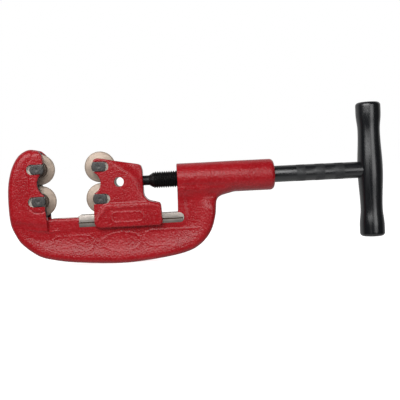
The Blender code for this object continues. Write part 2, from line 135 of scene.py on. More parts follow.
def colour_setting(name, description, hex_colour):
    return bpy.props.FloatVectorProperty(
        name=name, description=description, subtype="COLOR", size=3, min=0.0, max=1.0,
        default=linear(hex_colour))


def length_setting(name, description, millimetres):
    return bpy.props.FloatProperty(
        name=name, description=description, subtype="DISTANCE", unit="LENGTH", min=0.0,
        default=millimetres * MM)


class PipeCutterColours(bpy.types.PropertyGroup):
    """Colours of the finishes."""
    enamel: colour_setting("Enamel", "Red enamel on the castings", "#A5121B")
    # painted highlight: lighter pink tinted onto the grain's high points, standing for glints
    enamel_thin: colour_setting("Thin enamel", "Enamel where it runs thin on high grain", "#C23A44")
    iron: colour_setting("Machined iron", "Bare iron of the planed ways", "#AEA69F")
    milled: colour_setting("Milled iron", "Bare iron of the milled slots", "#CCC3B9")
    wheel: colour_setting("Wheel steel", "Turned tool steel of the wheels", "#BBA999")
    pin: colour_setting("Pin steel", "Dark heat-treated steel of the pins", "#565453")
    screw: colour_setting("Screw oxide", "Black oxide on the thread", "#0E0E0F")
    black: colour_setting("Black enamel", "Black enamel of the shank and handle", "#0C0E12")
    # near-black painted shade for the faces inside the forks and the edges of their mouths, over
    # old grease
    grease: colour_setting("Old grease", "Grease and filings round the hubs", "#140F0D")
    # brown of old grease on the hubs and in the ways' grooves, darkened as painted shade
    film: colour_setting("Grease film", "Thin film of old grease on bare metal", "#5E4E42")
    spring: colour_setting("Spring steel", "Bright spring steel of clips and cross pins", "#A9A9AB")


class PipeCutterSizes(bpy.types.PropertyGroup):
    """Sizes of the fine detail."""
    casting_step: length_setting("Casting step", "Spacing of the castings' surface points", 0.75)
    slide_step: length_setting("Slide step", "Spacing of the slide's surface points", 0.6)
    grain: length_setting("Cast grain", "Width of the sand grain that shows through", 1.5)
    pitch: length_setting("Thread pitch", "Ten threads to the inch", 2.54)
    crest: length_setting("Thread crest", "Crest radius of the feed screw", 9.5)
    wheel_radius: length_setting("Wheel radius", "Radius of the cutting edge", 17.2)


def colours():
    return bpy.context.scene.pipe_cutter_colours


def size(name):
    """A size setting, in millimetres."""
    return getattr(bpy.context.scene.pipe_cutter_sizes, name) / MM


# ---- outlines in the XZ plane ----

def arc(x, z, radius, start_deg, end_deg, steps):
    """Points along an arc, both ends included."""
    turns = np.radians(np.linspace(start_deg, end_deg, steps + 1))
    return [(x + radius * math.cos(a), z + radius * math.sin(a)) for a in turns]


def bow(start, end, sag, steps):
    """Arc from start to end that bows to the left of the line between them by sag."""
    start, end = Vector(start), Vector(end)
    chord = (end - start).length
    radius = (chord * chord / 4 + sag * sag) / (2 * sag)
    along = (end - start) / chord
    left = Vector((-along.y, along.x))
    centre = (start + end) / 2 + left * (sag - radius)
    half = math.asin(min(1.0, chord / (2 * radius)))
    return [tuple(centre + (along * math.sin(t) + left * math.cos(t)) * radius)
            for t in np.linspace(-half, half, steps + 1)]


def curve_through(knots, steps):
    """Smooth curve through the knots, with steps points between each pair."""
    knots = [np.array(k, float) for k in knots]
    points = []
    for i in range(len(knots) - 1):
        a, b, c, d = (knots[min(max(i + k, 0), len(knots) - 1)] for k in (-1, 0, 1, 2))
        for t in np.arange(steps) / steps:
            points.append(tuple(0.5 * (2 * b + (c - a) * t + (2 * a - 5 * b + 4 * c - d) * t * t
                                       + (3 * b - a - 3 * c + d) * t ** 3)))
    return points + [tuple(knots[-1])]


def outer_edge():
    """Back of the jaw, belly and arm, from the jaw's tip round to the barrel."""
    knots = [(-151.0, 38.8), (-161.6, 39.9), (-172.4, 33.8), (-180.3, 21.2), (-185.2, 3.8),
             (-186.6, -15.0), (-185.6, -38.8), (-180.9, -52.8), (-173.0, -65.0), (-156.4, -78.0),
             (-139.2, -83.4), (-112.8, -87.5), (-67.8, -90.5), (-31.5, -88.4), (5.0, -82.6),
             (23.5, -73.8), (35.3, -60.3), (41.1, -43.6), (43.4, -26.8), (47.0, -20.2),
             (55.0, -15.0)]
    return curve_through(knots, 6)


def jaw_mouth():
    """Front edge of the jaw's cheeks, from the foot up to the tip."""
    return ([(-144.0, BEAM_TOP), (-145.3, -23.5)] + bow((-145.3, -11.2), (-145.3, 14.4), 7.2, 20)
            + [(-145.3, 27.0), (-146.2, 33.6)])


def slide_edge():
    """Outline of the slide's cheek and skirt."""
    front = bow((-91.6, 11.8), (-91.6, -11.8), 7.6, 20)[::-1]
    return ([(-87.0, -50.1), (-91.2, -48.5), (-93.0, -44.0), (-92.6, -24.0), (-91.6, -22.0)]
            + front + [(-91.6, 22.6), (-90.2, 25.6), (-86.6, 27.2), (-72.0, 24.4), (-42.0, 18.8),
                       (-39.2, 17.2), (-37.8, 12.0), (-37.4, -8.0)]
            + arc(-27.0, -13.0, 10.4, 180, 258, 12)
            + [(-20.4, -25.6), (-18.9, -28.2), (-17.8, -46.8), (-20.6, -50.1)])


def wheel_gap(wheel_x, radius, side, reach, bottom):
    """Space cleared for two wheels: round behind them, open in front."""
    meet = math.degrees(math.asin(WHEEL_Z / radius))
    back = arc(0, WHEEL_Z, radius, 90, -meet, 20) + arc(0, -WHEEL_Z, radius, meet, -40, 16)[1:]
    back = [(wheel_x + side * x, z) for x, z in back]
    return [(reach, 60.0), (wheel_x, 60.0)] + back + [(back[-1][0], bottom), (reach, bottom)]


def pin_slot(wheel_x, wheel_z, half, back, front):
    """Milled slot, round at its back end and open through its front end."""
    side = 1 if front < wheel_x else -1
    end_x = wheel_x + side * (back - half)
    round_end = [(end_x + side * x, wheel_z + z) for x, z in arc(0, 0, half, -90, 90, 24)]
    return round_end + [(front, wheel_z + half), (front, wheel_z - half)]


# ---- castings are carved as distance fields, so that their corners run out softly ----

class Carving:
    """Distance field of a casting on a regular grid, in millimetres."""

    def __init__(self, low, high, step):
        self.step = step
        self.low = np.array(low, float)
        counts = [int(math.ceil((b - a) / step)) + 1 for a, b in zip(low, high)]
        x, y, z = (np.arange(n, dtype=np.float32) * step + a for n, a in zip(counts, low))
        self.x, self.y, self.z = x[:, None, None], y[None, :, None], z[None, None, :]
        self.plane_x, self.plane_z = x[:, None], z[None, :]

    def outline(self, points):
        """Signed distance from a closed XZ outline, negative inside."""
        px, pz = self.plane_x, self.plane_z
        closed = points + points[:1]
        inside = np.zeros((px.size, pz.size), bool)
        for (ax, az), (bx, bz) in zip(closed, closed[1:]):
            if az != bz:
                crossing = (az > pz) != (bz > pz)
                inside ^= crossing & (px < (bx - ax) * (pz - az) / (bz - az) + ax)
        return np.where(inside, -1, 1) * self.line(closed)

    def line(self, points):
        """Distance from an open XZ line."""
        px, pz = self.plane_x, self.plane_z
        nearest = np.full((px.size, pz.size), 1e9, np.float32)
        for (ax, az), (bx, bz) in zip(points, points[1:]):
            ex, ez = bx - ax, bz - az
            t = np.clip(((px - ax) * ex + (pz - az) * ez) / max(ex * ex + ez * ez, 1e-9), 0, 1)
            nearest = np.minimum(nearest, (px - ax - ex * t) ** 2 + (pz - az - ez * t) ** 2)
        return np.sqrt(nearest)

    def slab(self, outline, half, radius):
        """Solid of an outline whose half width may vary, with its corners rounded."""
        half = np.broadcast_to(np.asarray(half, np.float32), outline.shape)
        slope = np.hypot(*np.gradient(half, self.step))
        side = (np.abs(self.y) - half[:, None, :]) / np.sqrt(1 + slope * slope)[:, None, :]
        radius = np.broadcast_to(np.asarray(radius, np.float32), outline.shape)[:, None, :]
        return corner(outline[:, None, :], side, radius)


def corner(a, b, radius):
    """Where two solids both are, with the corner between them rounded."""
    ra, rb = a + radius, b + radius
    return (np.minimum(np.maximum(ra, rb), 0)
            + np.hypot(np.maximum(ra, 0), np.maximum(rb, 0)) - radius)


def melt(a, b, width):
    """Two solids joined, with the valley between them filled over the given width."""
    width = np.asarray(width, np.float32)
    h = np.maximum(width - np.abs(a - b), 0) / width
    return np.minimum(a, b) - h * h * width / 4


def ease(value, start, end):
    """0 before start, 1 after end and smooth between."""
    t = np.clip((value - start) / (end - start), 0, 1)
    return t * t * (3 - 2 * t)


def skin(carving, field):
    """Quads over the field's zero level, with one point in each cell that it crosses."""
    inside = field < 0
    corners = np.array([(i, j, k) for i in (0, 1) for j in (0, 1) for k in (0, 1)])
    count = np.zeros(tuple(n - 1 for n in field.shape), np.uint8)
    for i, j, k in corners:
        count += inside[i:i + count.shape[0], j:j + count.shape[1], k:k + count.shape[2]]
    cells = np.argwhere((count > 0) & (count < 8))
    number = np.full(count.shape, -1, np.int64)
    number[tuple(cells.T)] = np.arange(len(cells))
    total = np.zeros((len(cells), 3))
    hits = np.zeros(len(cells))
    for a in corners:
        for axis in np.flatnonzero(a == 0):
            b = a.copy()
            b[axis] = 1
            fa = field[tuple((cells + a).T)]
            fb = field[tuple((cells + b).T)]
            cross = (fa < 0) != (fb < 0)
            share = np.where(cross, fa / np.where(cross, fa - fb, 1), 0)
            spot = a + (b - a) * share[:, None]
            total[cross] += spot[cross]
            hits += cross
    points = carving.low + (cells + total / hits[:, None]) * carving.step
    quads = []
    for axis in range(3):
        u, v = (axis + 1) % 3, (axis + 2) % 3
        first = np.take(inside, range(field.shape[axis] - 1), axis)
        second = np.take(inside, range(1, field.shape[axis]), axis)
        for flip, where in ((False, first & ~second), (True, ~first & second)):
            edges = np.argwhere(where)
            ring = []
            for du, dv in ((-1, -1), (0, -1), (0, 0), (-1, 0)):
                cell = edges.copy()
                cell[:, u] += du
                cell[:, v] += dv
                ring.append(number[tuple(cell.T)])
            quads.append(np.stack(ring[::-1] if flip else ring, 1))
    return points, np.concatenate(quads)


def ripple(points, width, seed):
    """Smooth random height from -1 to 1 at each point, with lumps of the given width."""
    cell = points / width
    base = np.floor(cell).astype(np.int64)
    part = cell - base
    part = part * part * (3 - 2 * part)
    value = np.zeros(len(points))
    for i in (0, 1):
        for j in (0, 1):
            for k in (0, 1):
                key = ((base[:, 0] + i) * 73856093) ^ ((base[:, 1] + j) * 19349663)
                key = (key ^ ((base[:, 2] + k) * 83492791)) + seed * 2654435761
                key = (key ^ (key >> 13)) * 1274126177 & 0x7FFFFFFF
                height = (key ^ (key >> 16)) % 65536 / 32767.5 - 1
                weight = np.abs(1 - i - part[:, 0]) * np.abs(1 - j - part[:, 1])
                value += height * weight * np.abs(1 - k - part[:, 2])
    return value


# ---- meshes ----

def in_scene(name, data):
    """New object, linked into the scene."""
    made = bpy.data.objects.new(name, data)
    bpy.context.scene.collection.objects.link(made)
    return made


def in_metres(name, bm, material):
    """Mesh in metres and in one finish from a millimetre one, which is used up."""
    mesh = bpy.data.meshes.new(name)
    bmesh.ops.scale(bm, vec=(MM, MM, MM), verts=bm.verts)
    bm.to_mesh(mesh)
    bm.free()
    mesh.materials.append(material)
    return mesh


def dress(name, mesh, body, replaces, centre=(0, 0, 0), sharp_deg=35):
    """Piece for a mesh in metres whose zero is at centre, riding on its body."""
    mesh.shade_smooth()
    mesh.set_sharp_from_angle(angle=math.radians(sharp_deg))
    piece = in_scene(name, mesh)
    piece.location = FEED_LINE + Vector(centre) * MM
    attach(piece, body)
    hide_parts(*replaces)
    return piece


def prism(points, y_low, y_high):
    """Solid with an XZ outline between two Y planes."""
    bm = bmesh.new()
    near = [bm.verts.new((x, y_low, z)) for x, z in points]
    far = [bm.verts.new((x, y_high, z)) for x, z in points]
    bm.faces.new(near)
    bm.faces.new(far[::-1])
    for i in range(len(points)):
        j = (i + 1) % len(points)
        bm.faces.new((near[j], near[i], far[i], far[j]))
    bmesh.ops.recalc_face_normals(bm, faces=bm.faces)
    return bm


def turned(profile, sides, direction, closed=False):
    """Solid of revolution of (along, radius) points, or a ring when the profile is closed."""
    bm = bmesh.new()
    verts = [bm.verts.new((radius, 0, along)) for along, radius in profile]
    edges = [bm.edges.new(pair) for pair in zip(verts, verts[1:])]
    if closed:
        edges.append(bm.edges.new((verts[-1], verts[0])))
    bmesh.ops.spin(bm, geom=verts + edges, cent=(0, 0, 0), axis=(0, 0, 1),
                   angle=2 * math.pi, steps=sides, use_merge=True, use_duplicate=False)
    bmesh.ops.remove_doubles(bm, verts=bm.verts, dist=1e-4)
    rims = [e for e in bm.edges if e.is_boundary]
    if rims:
        bmesh.ops.holes_fill(bm, edges=rims, sides=0)
    bmesh.ops.recalc_face_normals(bm, faces=bm.faces)
    turn = Vector((0, 0, 1)).rotation_difference(Vector(direction)).to_matrix()
    bmesh.ops.transform(bm, matrix=turn.to_4x4(), verts=bm.verts)
    return bm


def rod(start, end, radius, sides=48):
    """Plain cylinder between two points."""
    start, end = Vector(start), Vector(end)
    bm = turned([(0, radius), ((end - start).length, radius)], sides, (end - start).normalized())
    bmesh.ops.translate(bm, vec=start, verts=bm.verts)
    return bm


def gather(solids):
    """One mesh from several that don't touch."""
    joined = bmesh.new()
    for solid in solids:
        mesh = bpy.data.meshes.new("part")
        solid.to_mesh(mesh)
        solid.free()
        joined.from_mesh(mesh)
        bpy.data.meshes.remove(mesh)
    return joined


def carve(piece, solids, material, operation="DIFFERENCE"):
    """Cut or join crisp solids, whose faces keep the given finish."""
    mesh = in_metres("tool", gather(solids), material)
    tool = in_scene("tool", mesh)
    tool.matrix_world = piece.matrix_world
    step = piece.modifiers.new("carve", "BOOLEAN")
    step.operation = operation
    step.solver = "EXACT"
    step.material_mode = "TRANSFER"
    step.object = tool
    view = bpy.context.evaluated_depsgraph_get()
    result = bpy.data.meshes.new_from_object(piece.evaluated_get(view), depsgraph=view)
    if not result.polygons:
        raise RuntimeError(f"carving {piece.name} left nothing")
    piece.modifiers.clear()
    old = piece.data
    piece.data = result
    bpy.data.meshes.remove(old)
    bpy.data.objects.remove(tool)
    bpy.data.meshes.remove(mesh)


def bevelled(bm, width, segments, sharp_deg=40):
    """Round off the corners of a small solid."""
    edges = [e for e in bm.edges
             if len(e.link_faces) == 2 and e.calc_face_angle() > math.radians(sharp_deg)]
    bmesh.ops.bevel(bm, geom=edges, offset=width, offset_type="OFFSET", segments=segments,
                    profile=0.5, affect="EDGES", clamp_overlap=True)
    return bm


def cast(name, carving, field, weight, body, node):
    """Enamelled casting with sand grain, whose height weight gives for x, y and z."""
    near = np.abs(field) < 2.5 * carving.step
    points = carving.low + np.argwhere(near) * carving.step
    width = size("grain")
    height = 0.6 * ripple(points, width, 3) + 0.4 * ripple(points, width * 0.55, 5)
    field[near] += (height * weight(*points.T)).astype(np.float32)
    points, quads = skin(carving, field + PAINT_GAP)
    mesh = bpy.data.meshes.new(name)
    mesh.from_pydata((points * MM).tolist(), [], quads.tolist())
    mesh.materials.append(shared(sprayed_enamel_on_sand_cast_iron))
    mesh.update()
    return dress(name, mesh, body, [node])


# ---- materials ----

def plug(tree, node, values=(), links=()):
    """Set a node's input values, and link sockets to its inputs."""
    for key, value in dict(values).items():
        node.inputs[key].default_value = value
    for key, socket in dict(links).items():
        tree.links.new(socket, node.inputs[key])


def add(tree, kind, values=(), links=(), **settings):
    """Add one node with its settings, its input values and its links."""
    made = tree.nodes.new(kind)
    for key, value in settings.items():
        setattr(made, key, value)
    plug(tree, made, values, links)
    return made


def blank_material(name, values):
    """New material, its tree, its shader with plain values set, and the object's coordinates."""
    material = bpy.data.materials.new(name)
    material.use_nodes = True
    tree = material.node_tree
    shader = tree.nodes["Principled BSDF"]
    plug(tree, shader, values)
    coords = add(tree, "ShaderNodeTexCoord")
    return material, tree, shader, coords.outputs["Object"]


def sprayed_enamel_on_sand_cast_iron():
    """Glossy paint over rough iron: the sand's grain shows as small soft bright specks, partly bump
    and partly painted highlights in a lighter pink.
    """
    material, tree, shader, coords = blank_material(
        "sprayed_enamel_on_sand_cast_iron", {"IOR": 1.52, "Specular IOR Level": 0.36})
    grain_mm = 1.8                       # coarse sand, drawn large so that it shows
    grain = add(tree, "ShaderNodeTexNoise", {"Scale": 1000 / grain_mm, "Detail": 1.0,
                "Roughness": 0.4}, {"Vector": coords})
    peel = add(tree, "ShaderNodeTexNoise", {"Scale": 1000 / 4.5, "Detail": 1.0},
               {"Vector": coords})
    patch = add(tree, "ShaderNodeTexNoise", {"Scale": 1000 / 22.0, "Detail": 4.0},
                {"Vector": coords})
    height = add(tree, "ShaderNodeMath", {0: 0.55},
                 {1: peel.outputs["Fac"], 2: grain.outputs["Fac"]}, operation="MULTIPLY_ADD")
    bump = add(tree, "ShaderNodeBump", {"Strength": 1.0, "Distance": 0.00038},
               {"Height": height.outputs["Value"]})
    # painted highlight: the grain's high points are tinted towards lighter pink
    painted_glint = add(tree, "ShaderNodeMapRange", {"From Min": 0.5, "From Max": 0.68, "To Max": 0.35},
                {"Value": grain.outputs["Fac"]}, clamp=True)
    tint = add(tree, "ShaderNodeMix", {6: (*colours().enamel, 1), 7: (*colours().enamel_thin, 1)},
               {0: painted_glint.outputs["Result"]}, data_type="RGBA")
    shade = add(tree, "ShaderNodeMapRange", {"From Min": 0.3, "From Max": 0.7, "To Min": 0.9,
                "To Max": 1.06}, {"Value": patch.outputs["Fac"]})
    depth = add(tree, "ShaderNodeVectorMath", {}, {0: tint.outputs[2], 1: shade.outputs["Result"]},
                operation="MULTIPLY")
    gloss = add(tree, "ShaderNodeMapRange", {"From Min": 0.3, "From Max": 0.7, "To Min": 0.24,
                "To Max": 0.32}, {"Value": patch.outputs["Fac"]})
    plug(tree, shader, {}, {"Base Color": depth.outputs["Vector"],
                            "Roughness": gloss.outputs["Result"],
                            "Normal": bump.outputs["Normal"]})
    return material


def stain(tree, shader, coords, colour, width_mm, detail, darkest):
    """Colour a surface, with faint stains of the given width left by heat and oil."""
    stains = add(tree, "ShaderNodeTexNoise", {"Scale": 1000 / width_mm, "Detail": detail},
                 {"Vector": coords})
    shade = add(tree, "ShaderNodeMapRange", {"From Min": 0.3, "From Max": 0.7,
                "To Min": darkest, "To Max": 1.08}, {"Value": stains.outputs["Fac"]})
    tint = add(tree, "ShaderNodeVectorMath", {0: colour}, {1: shade.outputs["Result"]},
               operation="MULTIPLY")
    plug(tree, shader, {}, {"Base Color": tint.outputs["Vector"]})


def tool_mark(tree, shader, marks, roughness, strength, depth_mm):
    """Dent a surface with tool marks, and make it duller along them."""
    bump = add(tree, "ShaderNodeBump", {"Strength": strength, "Distance": depth_mm * MM},
               {"Height": marks})
    gloss = add(tree, "ShaderNodeMapRange", {"From Min": 0.3, "From Max": 0.7,
                "To Min": roughness * 0.85, "To Max": roughness * 1.2}, {"Value": marks})
    plug(tree, shader, {}, {"Roughness": gloss.outputs["Result"], "Normal": bump.outputs["Normal"]})


def lined_metal(name, colour, roughness, line_mm, stretch, strength, metallic=1.0):
    """Metal with tool lines: noise drawn out along the way the tool went."""
    material, tree, shader, coords = blank_material(name, {"Metallic": metallic})
    along = add(tree, "ShaderNodeMapping", {"Scale": stretch}, {"Vector": coords})
    lines = add(tree, "ShaderNodeTexNoise", {"Scale": 1000 / line_mm, "Detail": 2.0},
                {"Vector": along.outputs["Vector"]})
    stain(tree, shader, coords, colour, 7.0, 3.0, 0.82)
    tool_mark(tree, shader, lines.outputs["Fac"], roughness, strength, 0.15)
    return material


def ground_cast_iron():
    """Planed and ground ways: pale grey with fine lines along the beam."""
    return lined_metal("ground_cast_iron", colours().iron, 0.42, 0.7, (0.04, 1, 1), 0.3)


def milled_cast_iron():
    """Slots and holes cut by end mills: pale grey, a little rougher, with faint cutter lines."""
    return lined_metal("milled_cast_iron", colours().milled, 0.5, 0.8, (1, 0.2, 1), 0.35, 0.3)


def ringed_metal(name, colour, roughness, ring_mm, strength, metallic):
    """Turned metal: fine rings round the Y axis, with slight heat and oil stain."""
    material, tree, shader, coords = blank_material(name, {"Metallic": metallic})
    flat = add(tree, "ShaderNodeVectorMath", {1: (1, 0, 1)}, {0: coords}, operation="MULTIPLY")
    radius = add(tree, "ShaderNodeVectorMath", {}, {0: flat.outputs["Vector"]},
                 operation="LENGTH")
    rings = add(tree, "ShaderNodeTexNoise", {"Scale": 1000 / ring_mm, "Detail": 2.0},
                {"W": radius.outputs["Value"]}, noise_dimensions="1D")
    stain(tree, shader, coords, colour, 5.0, 4.0, 0.84)
    tool_mark(tree, shader, rings.outputs["Fac"], roughness, strength, 0.12)
    return material


def turned_tool_steel():
    """Hardened wheels: warm grey with fine turning rings, satin rather than bright."""
    return ringed_metal("turned_tool_steel", colours().wheel, 0.5, 0.5, 0.2, 0.4)


def heat_treated_steel():
    """Quenched pins: dark blue-grey scale over turned rings."""
    return ringed_metal("heat_treated_steel", colours().pin, 0.45, 0.7, 0.5, 0.8)


def grease_and_shade_steel():
    """Hubs and the ways' grooves: brown for a film of old grease, and darker as painted shade where
    cheeks and ways shade them, over turned rings, with a dull wet shine.
    """
    return ringed_metal("grease_and_shade_steel", colours().film, 0.38, 0.8, 0.3, 0.2)


def painted_shade_enamel():
    """Fork faces and the edges of their mouths: near-black painted shade, where the cheeks shade
    the forks, laid over thin paint, old grease and filings.
    """
    return lined_metal("painted_shade_enamel", colours().grease, 0.6, 1.6, (1, 1, 1), 0.5, 0.0)


def bright_spring_steel():
    """Drawn and cut spring steel: mid grey with faint draw lines."""
    return lined_metal("bright_spring_steel", colours().spring, 0.32, 0.5, (1, 0.1, 1), 0.2)


def oiled_black_oxide():
    """Cut thread with black oxide and oil: nearly black, with a low waxy shine."""
    return lined_metal("oiled_black_oxide", colours().screw, 0.42, 0.9, (1, 1, 1), 0.2, 0.3)


def black_enamel(name, stretch, roughness):
    """Black enamel on ground steel: the grinding lines show through as soft streaks."""
    material, tree, shader, coords = blank_material(
        name, {"Base Color": (*colours().black, 1), "Specular IOR Level": 0.85, "IOR": 1.52})
    along = add(tree, "ShaderNodeMapping", {"Scale": stretch}, {"Vector": coords})
    streaks = add(tree, "ShaderNodeTexNoise", {"Scale": 1000 / 3.0, "Detail": 3.0},
                  {"Vector": along.outputs["Vector"]})
    peel = add(tree, "ShaderNodeTexNoise", {"Scale": 1000 / 1.6, "Detail": 1.0},
               {"Vector": coords})
    height = add(tree, "ShaderNodeMath", {0: 0.35},
                 {1: peel.outputs["Fac"], 2: streaks.outputs["Fac"]}, operation="MULTIPLY_ADD")
    bump = add(tree, "ShaderNodeBump", {"Strength": 0.3, "Distance": 0.0002},
               {"Height": height.outputs["Value"]})
    gloss = add(tree, "ShaderNodeMapRange", {"From Min": 0.35, "From Max": 0.65,
                "To Min": roughness * 0.8, "To Max": roughness * 1.25},
                {"Value": streaks.outputs["Fac"]})
    plug(tree, shader, {}, {"Roughness": gloss.outputs["Result"], "Normal": bump.outputs["Normal"]})
    return material


def shared(maker, *values):
    """One copy of a material, made the first time that it is asked for."""
    name = values[0] if values else maker.__name__
    return bpy.data.materials.get(name) or maker(*values)


# ---- pieces ----

def pin_seats(wheel_x, back, front):
    """Slots milled for the heads and clips of a pair of pins."""
    cuts = []
    for z in (WHEEL_Z, -WHEEL_Z):
        cuts.append(prism(pin_slot(wheel_x, z, HEAD_SLOT, back, front), -30,
                          -CHEEK_HALF + SLOT_DEPTH))
        cuts.append(prism(pin_slot(wheel_x, z, CLIP_SLOT, CLIP_SLOT, front),
                          CHEEK_HALF - SLOT_DEPTH, 30))
    return cuts


def pin_holes(wheel_x):
    """Holes through both cheeks for a pair of pins."""
    return [rod((wheel_x, -30, z), (wheel_x, 30, z), PIN_R + PIN_CLEARANCE)
            for z in (WHEEL_Z, -WHEEL_Z)]


def frame_side(carving, rim):
    """Half width of the frame over the XZ plane, and the radius of its corners."""
    x, z = carving.plane_x, carving.plane_z
    from_edge = carving.line(rim)
    from_mouth = carving.line(jaw_mouth())
    crease = -39.5 - 0.15 * (x + 182.0)
    jaw = ease(z - crease, -4.0, 5.0) * ease(-x, 112.0, 138.0)
    crest = RIM_HALF + (JAW_HALF - RIM_HALF) * jaw
    pad = np.minimum(carving.outline([(-161.6, -WHEEL_Z), (-120.0, -WHEEL_Z - 4), (-120.0, 60.0),
                                      (-150.0, 60.0), (-161.6, WHEEL_Z)]),
                     np.minimum(np.hypot(x - JAW_WHEEL_X - 1, z - WHEEL_Z) - 13.2,
                                np.hypot(x - JAW_WHEEL_X, z + WHEEL_Z) - 11.4))
    cheek = crest + 0.75 * ease(-pad, -0.5, 0.6) - 0.5 * np.exp(-((pad - 0.9) / 0.7) ** 2)
    at_jaw = ease(-x, 143.2, 144.9)
    above = BEAM_HALF + (cheek - BEAM_HALF) * at_jaw

    border = ([(-190.0, -42.7), (-143.0, BEAM_BOTTOM), (-125.0, STRIP_BOTTOM),
               (STRIP_END - 6, STRIP_BOTTOM)]
              + arc(STRIP_END - 6, STRIP_BOTTOM + 6, 6, -90, 0, 6)
              + [(STRIP_END, -38.0), (7.0, -32.5), (7.0, -6.0)])
    below = carving.outline(border + [(80.0, -6.0), (80.0, -120.0), (-230.0, -120.0),
                                      (-230.0, -42.7)]) < 0
    from_border = carving.line(border)
    run = np.minimum(from_edge, 9.0 + 0.42 * (x + 172.0))
    bowl = WEB_HALF + (crest - WEB_HALF) * (1 - np.minimum((run - 9.0) / 26.0, 1)) ** 2
    bank = melt(bowl, crest, 1.1)
    near_jaw = ease(-x, 126.0, 158.0)
    top = BEAM_HALF + (crest - BEAM_HALF) * near_jaw
    fillet = 1 - np.clip(from_border / (4.5 + 8.0 * near_jaw), 0, 1)
    ledge = WEB_HALF + (top - WEB_HALF) * fillet * fillet
    side = np.where(below, np.maximum(bank, ledge), above)
    for centre_x, centre_z, reach, radius, stretch in (
            (-118.0, -66.0, 14.0, 8.6, 1.0), (-6.0, -64.0, 24.0, 8.6, 1.0),
            (-64.0, -66.5, 0.0, 10.5, 0.5)):
        across = np.maximum(np.abs(x - centre_x) - reach, 0) * stretch
        ring = np.hypot(across, z - centre_z) - radius
        side = side + 0.32 * np.exp(-(ring / 0.9) ** 2) * below * ease(from_edge, 12.0, 16.0)
    neck = ease(z, -36.0, -17.0) * ease(x, 22.0, 42.0)
    side = side + (8.5 - side) * neck
    outer = (1 - ease(from_edge, 8.0, 17.0)) * ease(from_mouth, 1.5, 9.0)
    beam_top = ease(-x, 108.0, 112.0) * (1 - at_jaw) * ease(z, -49.0, -45.0)
    column = ease(x, -8.0, -4.0)
    rounding = 1.4 - 0.7 * column + (4.6 + 2.6 * jaw + 0.7 * column) * outer + 1.2 * beam_top
    return side, rounding


def grease_fork(piece, wheel_x, low_z, mouth):
    """Paint shade on the faces inside a fork, and on the edges of its mouth, which faces along
    mouth, with the near-black enamel.
    """
    mesh = piece.data
    mesh.materials.append(shared(painted_shade_enamel))
    for face in mesh.polygons:
        x, y, z = face.center / MM
        near_wheel = math.hypot(x - wheel_x, abs(z) - WHEEL_Z) < SHADE_REACH and z > low_z
        at_mouth = abs(y) < CHEEK_HALF - 1.6 and z < SHADE_TOP and face.normal.x * mouth > 0.3
        inner = abs(y) < FORK_HALF + 0.25 or at_mouth
        if near_wheel and inner and face.material_index == 0:
            face.material_index = len(mesh.materials) - 1


def build_frame_casting():
    """Frame: jaw, beam, belly, arm and barrel in one casting, then planed and milled."""
    step = size("casting_step")
    c = Carving((-192.0, -19.5, -92.5), (BARREL_END + 2.0, 19.5, 43.0), step)
    rim = outer_edge()
    outline = c.outline(rim + [(55.0, -4.0), (0.0, -4.0), (0.0, -16.0), (-0.8, BEAM_TOP)]
                        + jaw_mouth())
    solid = c.slab(outline, *frame_side(c, rim))
    radius = BARREL_R + 0.3 * ease(c.x, 20.0, 70.0)
    ends = np.abs(c.x - BARREL_END / 2) - BARREL_END / 2
    barrel = corner(np.hypot(c.y, c.z) - radius, ends, 1.2 + 3.4 * ease(c.x, 60.0, 100.0))
    solid = melt(solid, barrel, 0.1 + 11.9 * ease(-c.z, 3.0, 13.0))
    throat = c.outline([(-0.8, BEAM_TOP), (0.0, -16.0), (0.0, 60.0), (-130.0, 60.0),
                        (-130.0, BEAM_TOP)])
    solid = corner(solid, -throat[:, None, :], 0.7)
    gap = c.outline(wheel_gap(JAW_WHEEL_X, JAW_GAP_R, -1, -141.5, -38.4))
    solid = corner(solid, -c.slab(gap, FORK_HALF, 0.6), 1.0)

    def grain(x, y, z):
        low = ease(-z, 50.0, 54.0) + ease(x, 8.0, 11.0) * ease(-z, 18.0, 28.0)
        coarse = np.clip(low * (np.abs(y) < 12.0), 0, 1)
        return 0.03 + 0.14 * coarse

    piece = cast("cast_frame", c, solid, grain, "frame", "frame_casting")

    way_top_end = -34.0
    way = [(WAY_START, -48.1)] + arc(1.2, -43.1, 5, -90, 0, 12) + arc(1.2, -42.2, 5, 0, 90, 12)
    way += [(way_top_end, -37.2), (way_top_end, -35.0), (WAY_START, -35.0)]
    ways = bevelled(prism(way, -WAY_HALF, WAY_HALF), 0.5, 2, 60)
    carve(piece, [ways], shared(ground_cast_iron), "UNION")
    grooves = []
    for side in (-1, 1):
        section = [(side * 13.5, -44.9), (side * 13.5, -42.1), (side * 11.3, -43.3)]
        groove = prism(section, WAY_START - 1.2, 4.4)
        for vert in groove.verts:
            vert.co.x, vert.co.y = vert.co.y, vert.co.x
        bmesh.ops.recalc_face_normals(groove, faces=groove.faces)
        grooves.append(groove)
    relief = prism([(-150.0, -38.4), (-30.0, -38.4), (-30.0, -20.0), (-150.0, -20.0)], -3, 3)
    mouth_r = BORE_R + 0.85
    bore = turned([(-5, mouth_r), (0, mouth_r), (0.9, BORE_R), (BARREL_END - 0.9, BORE_R),
                   (BARREL_END, mouth_r), (BARREL_END + 5, mouth_r)], 96, (1, 0, 0))
    # painted shade: the grooves take the dark brown grease steel, darker than the ways round them
    carve(piece, grooves, shared(grease_and_shade_steel))
    iron = shared(milled_cast_iron)
    carve(piece, [relief, bore] + pin_seats(JAW_WHEEL_X, JAW_SLOT_BACK, -130.0), iron)
    carve(piece, pin_holes(JAW_WHEEL_X), iron)
    # painted shade: near-black enamel inside the jaw's fork and on the edges of its mouth
    grease_fork(piece, JAW_WHEEL_X, -37.0, 1)
    piece.data.set_sharp_from_angle(angle=math.radians(SHARP_DEG))


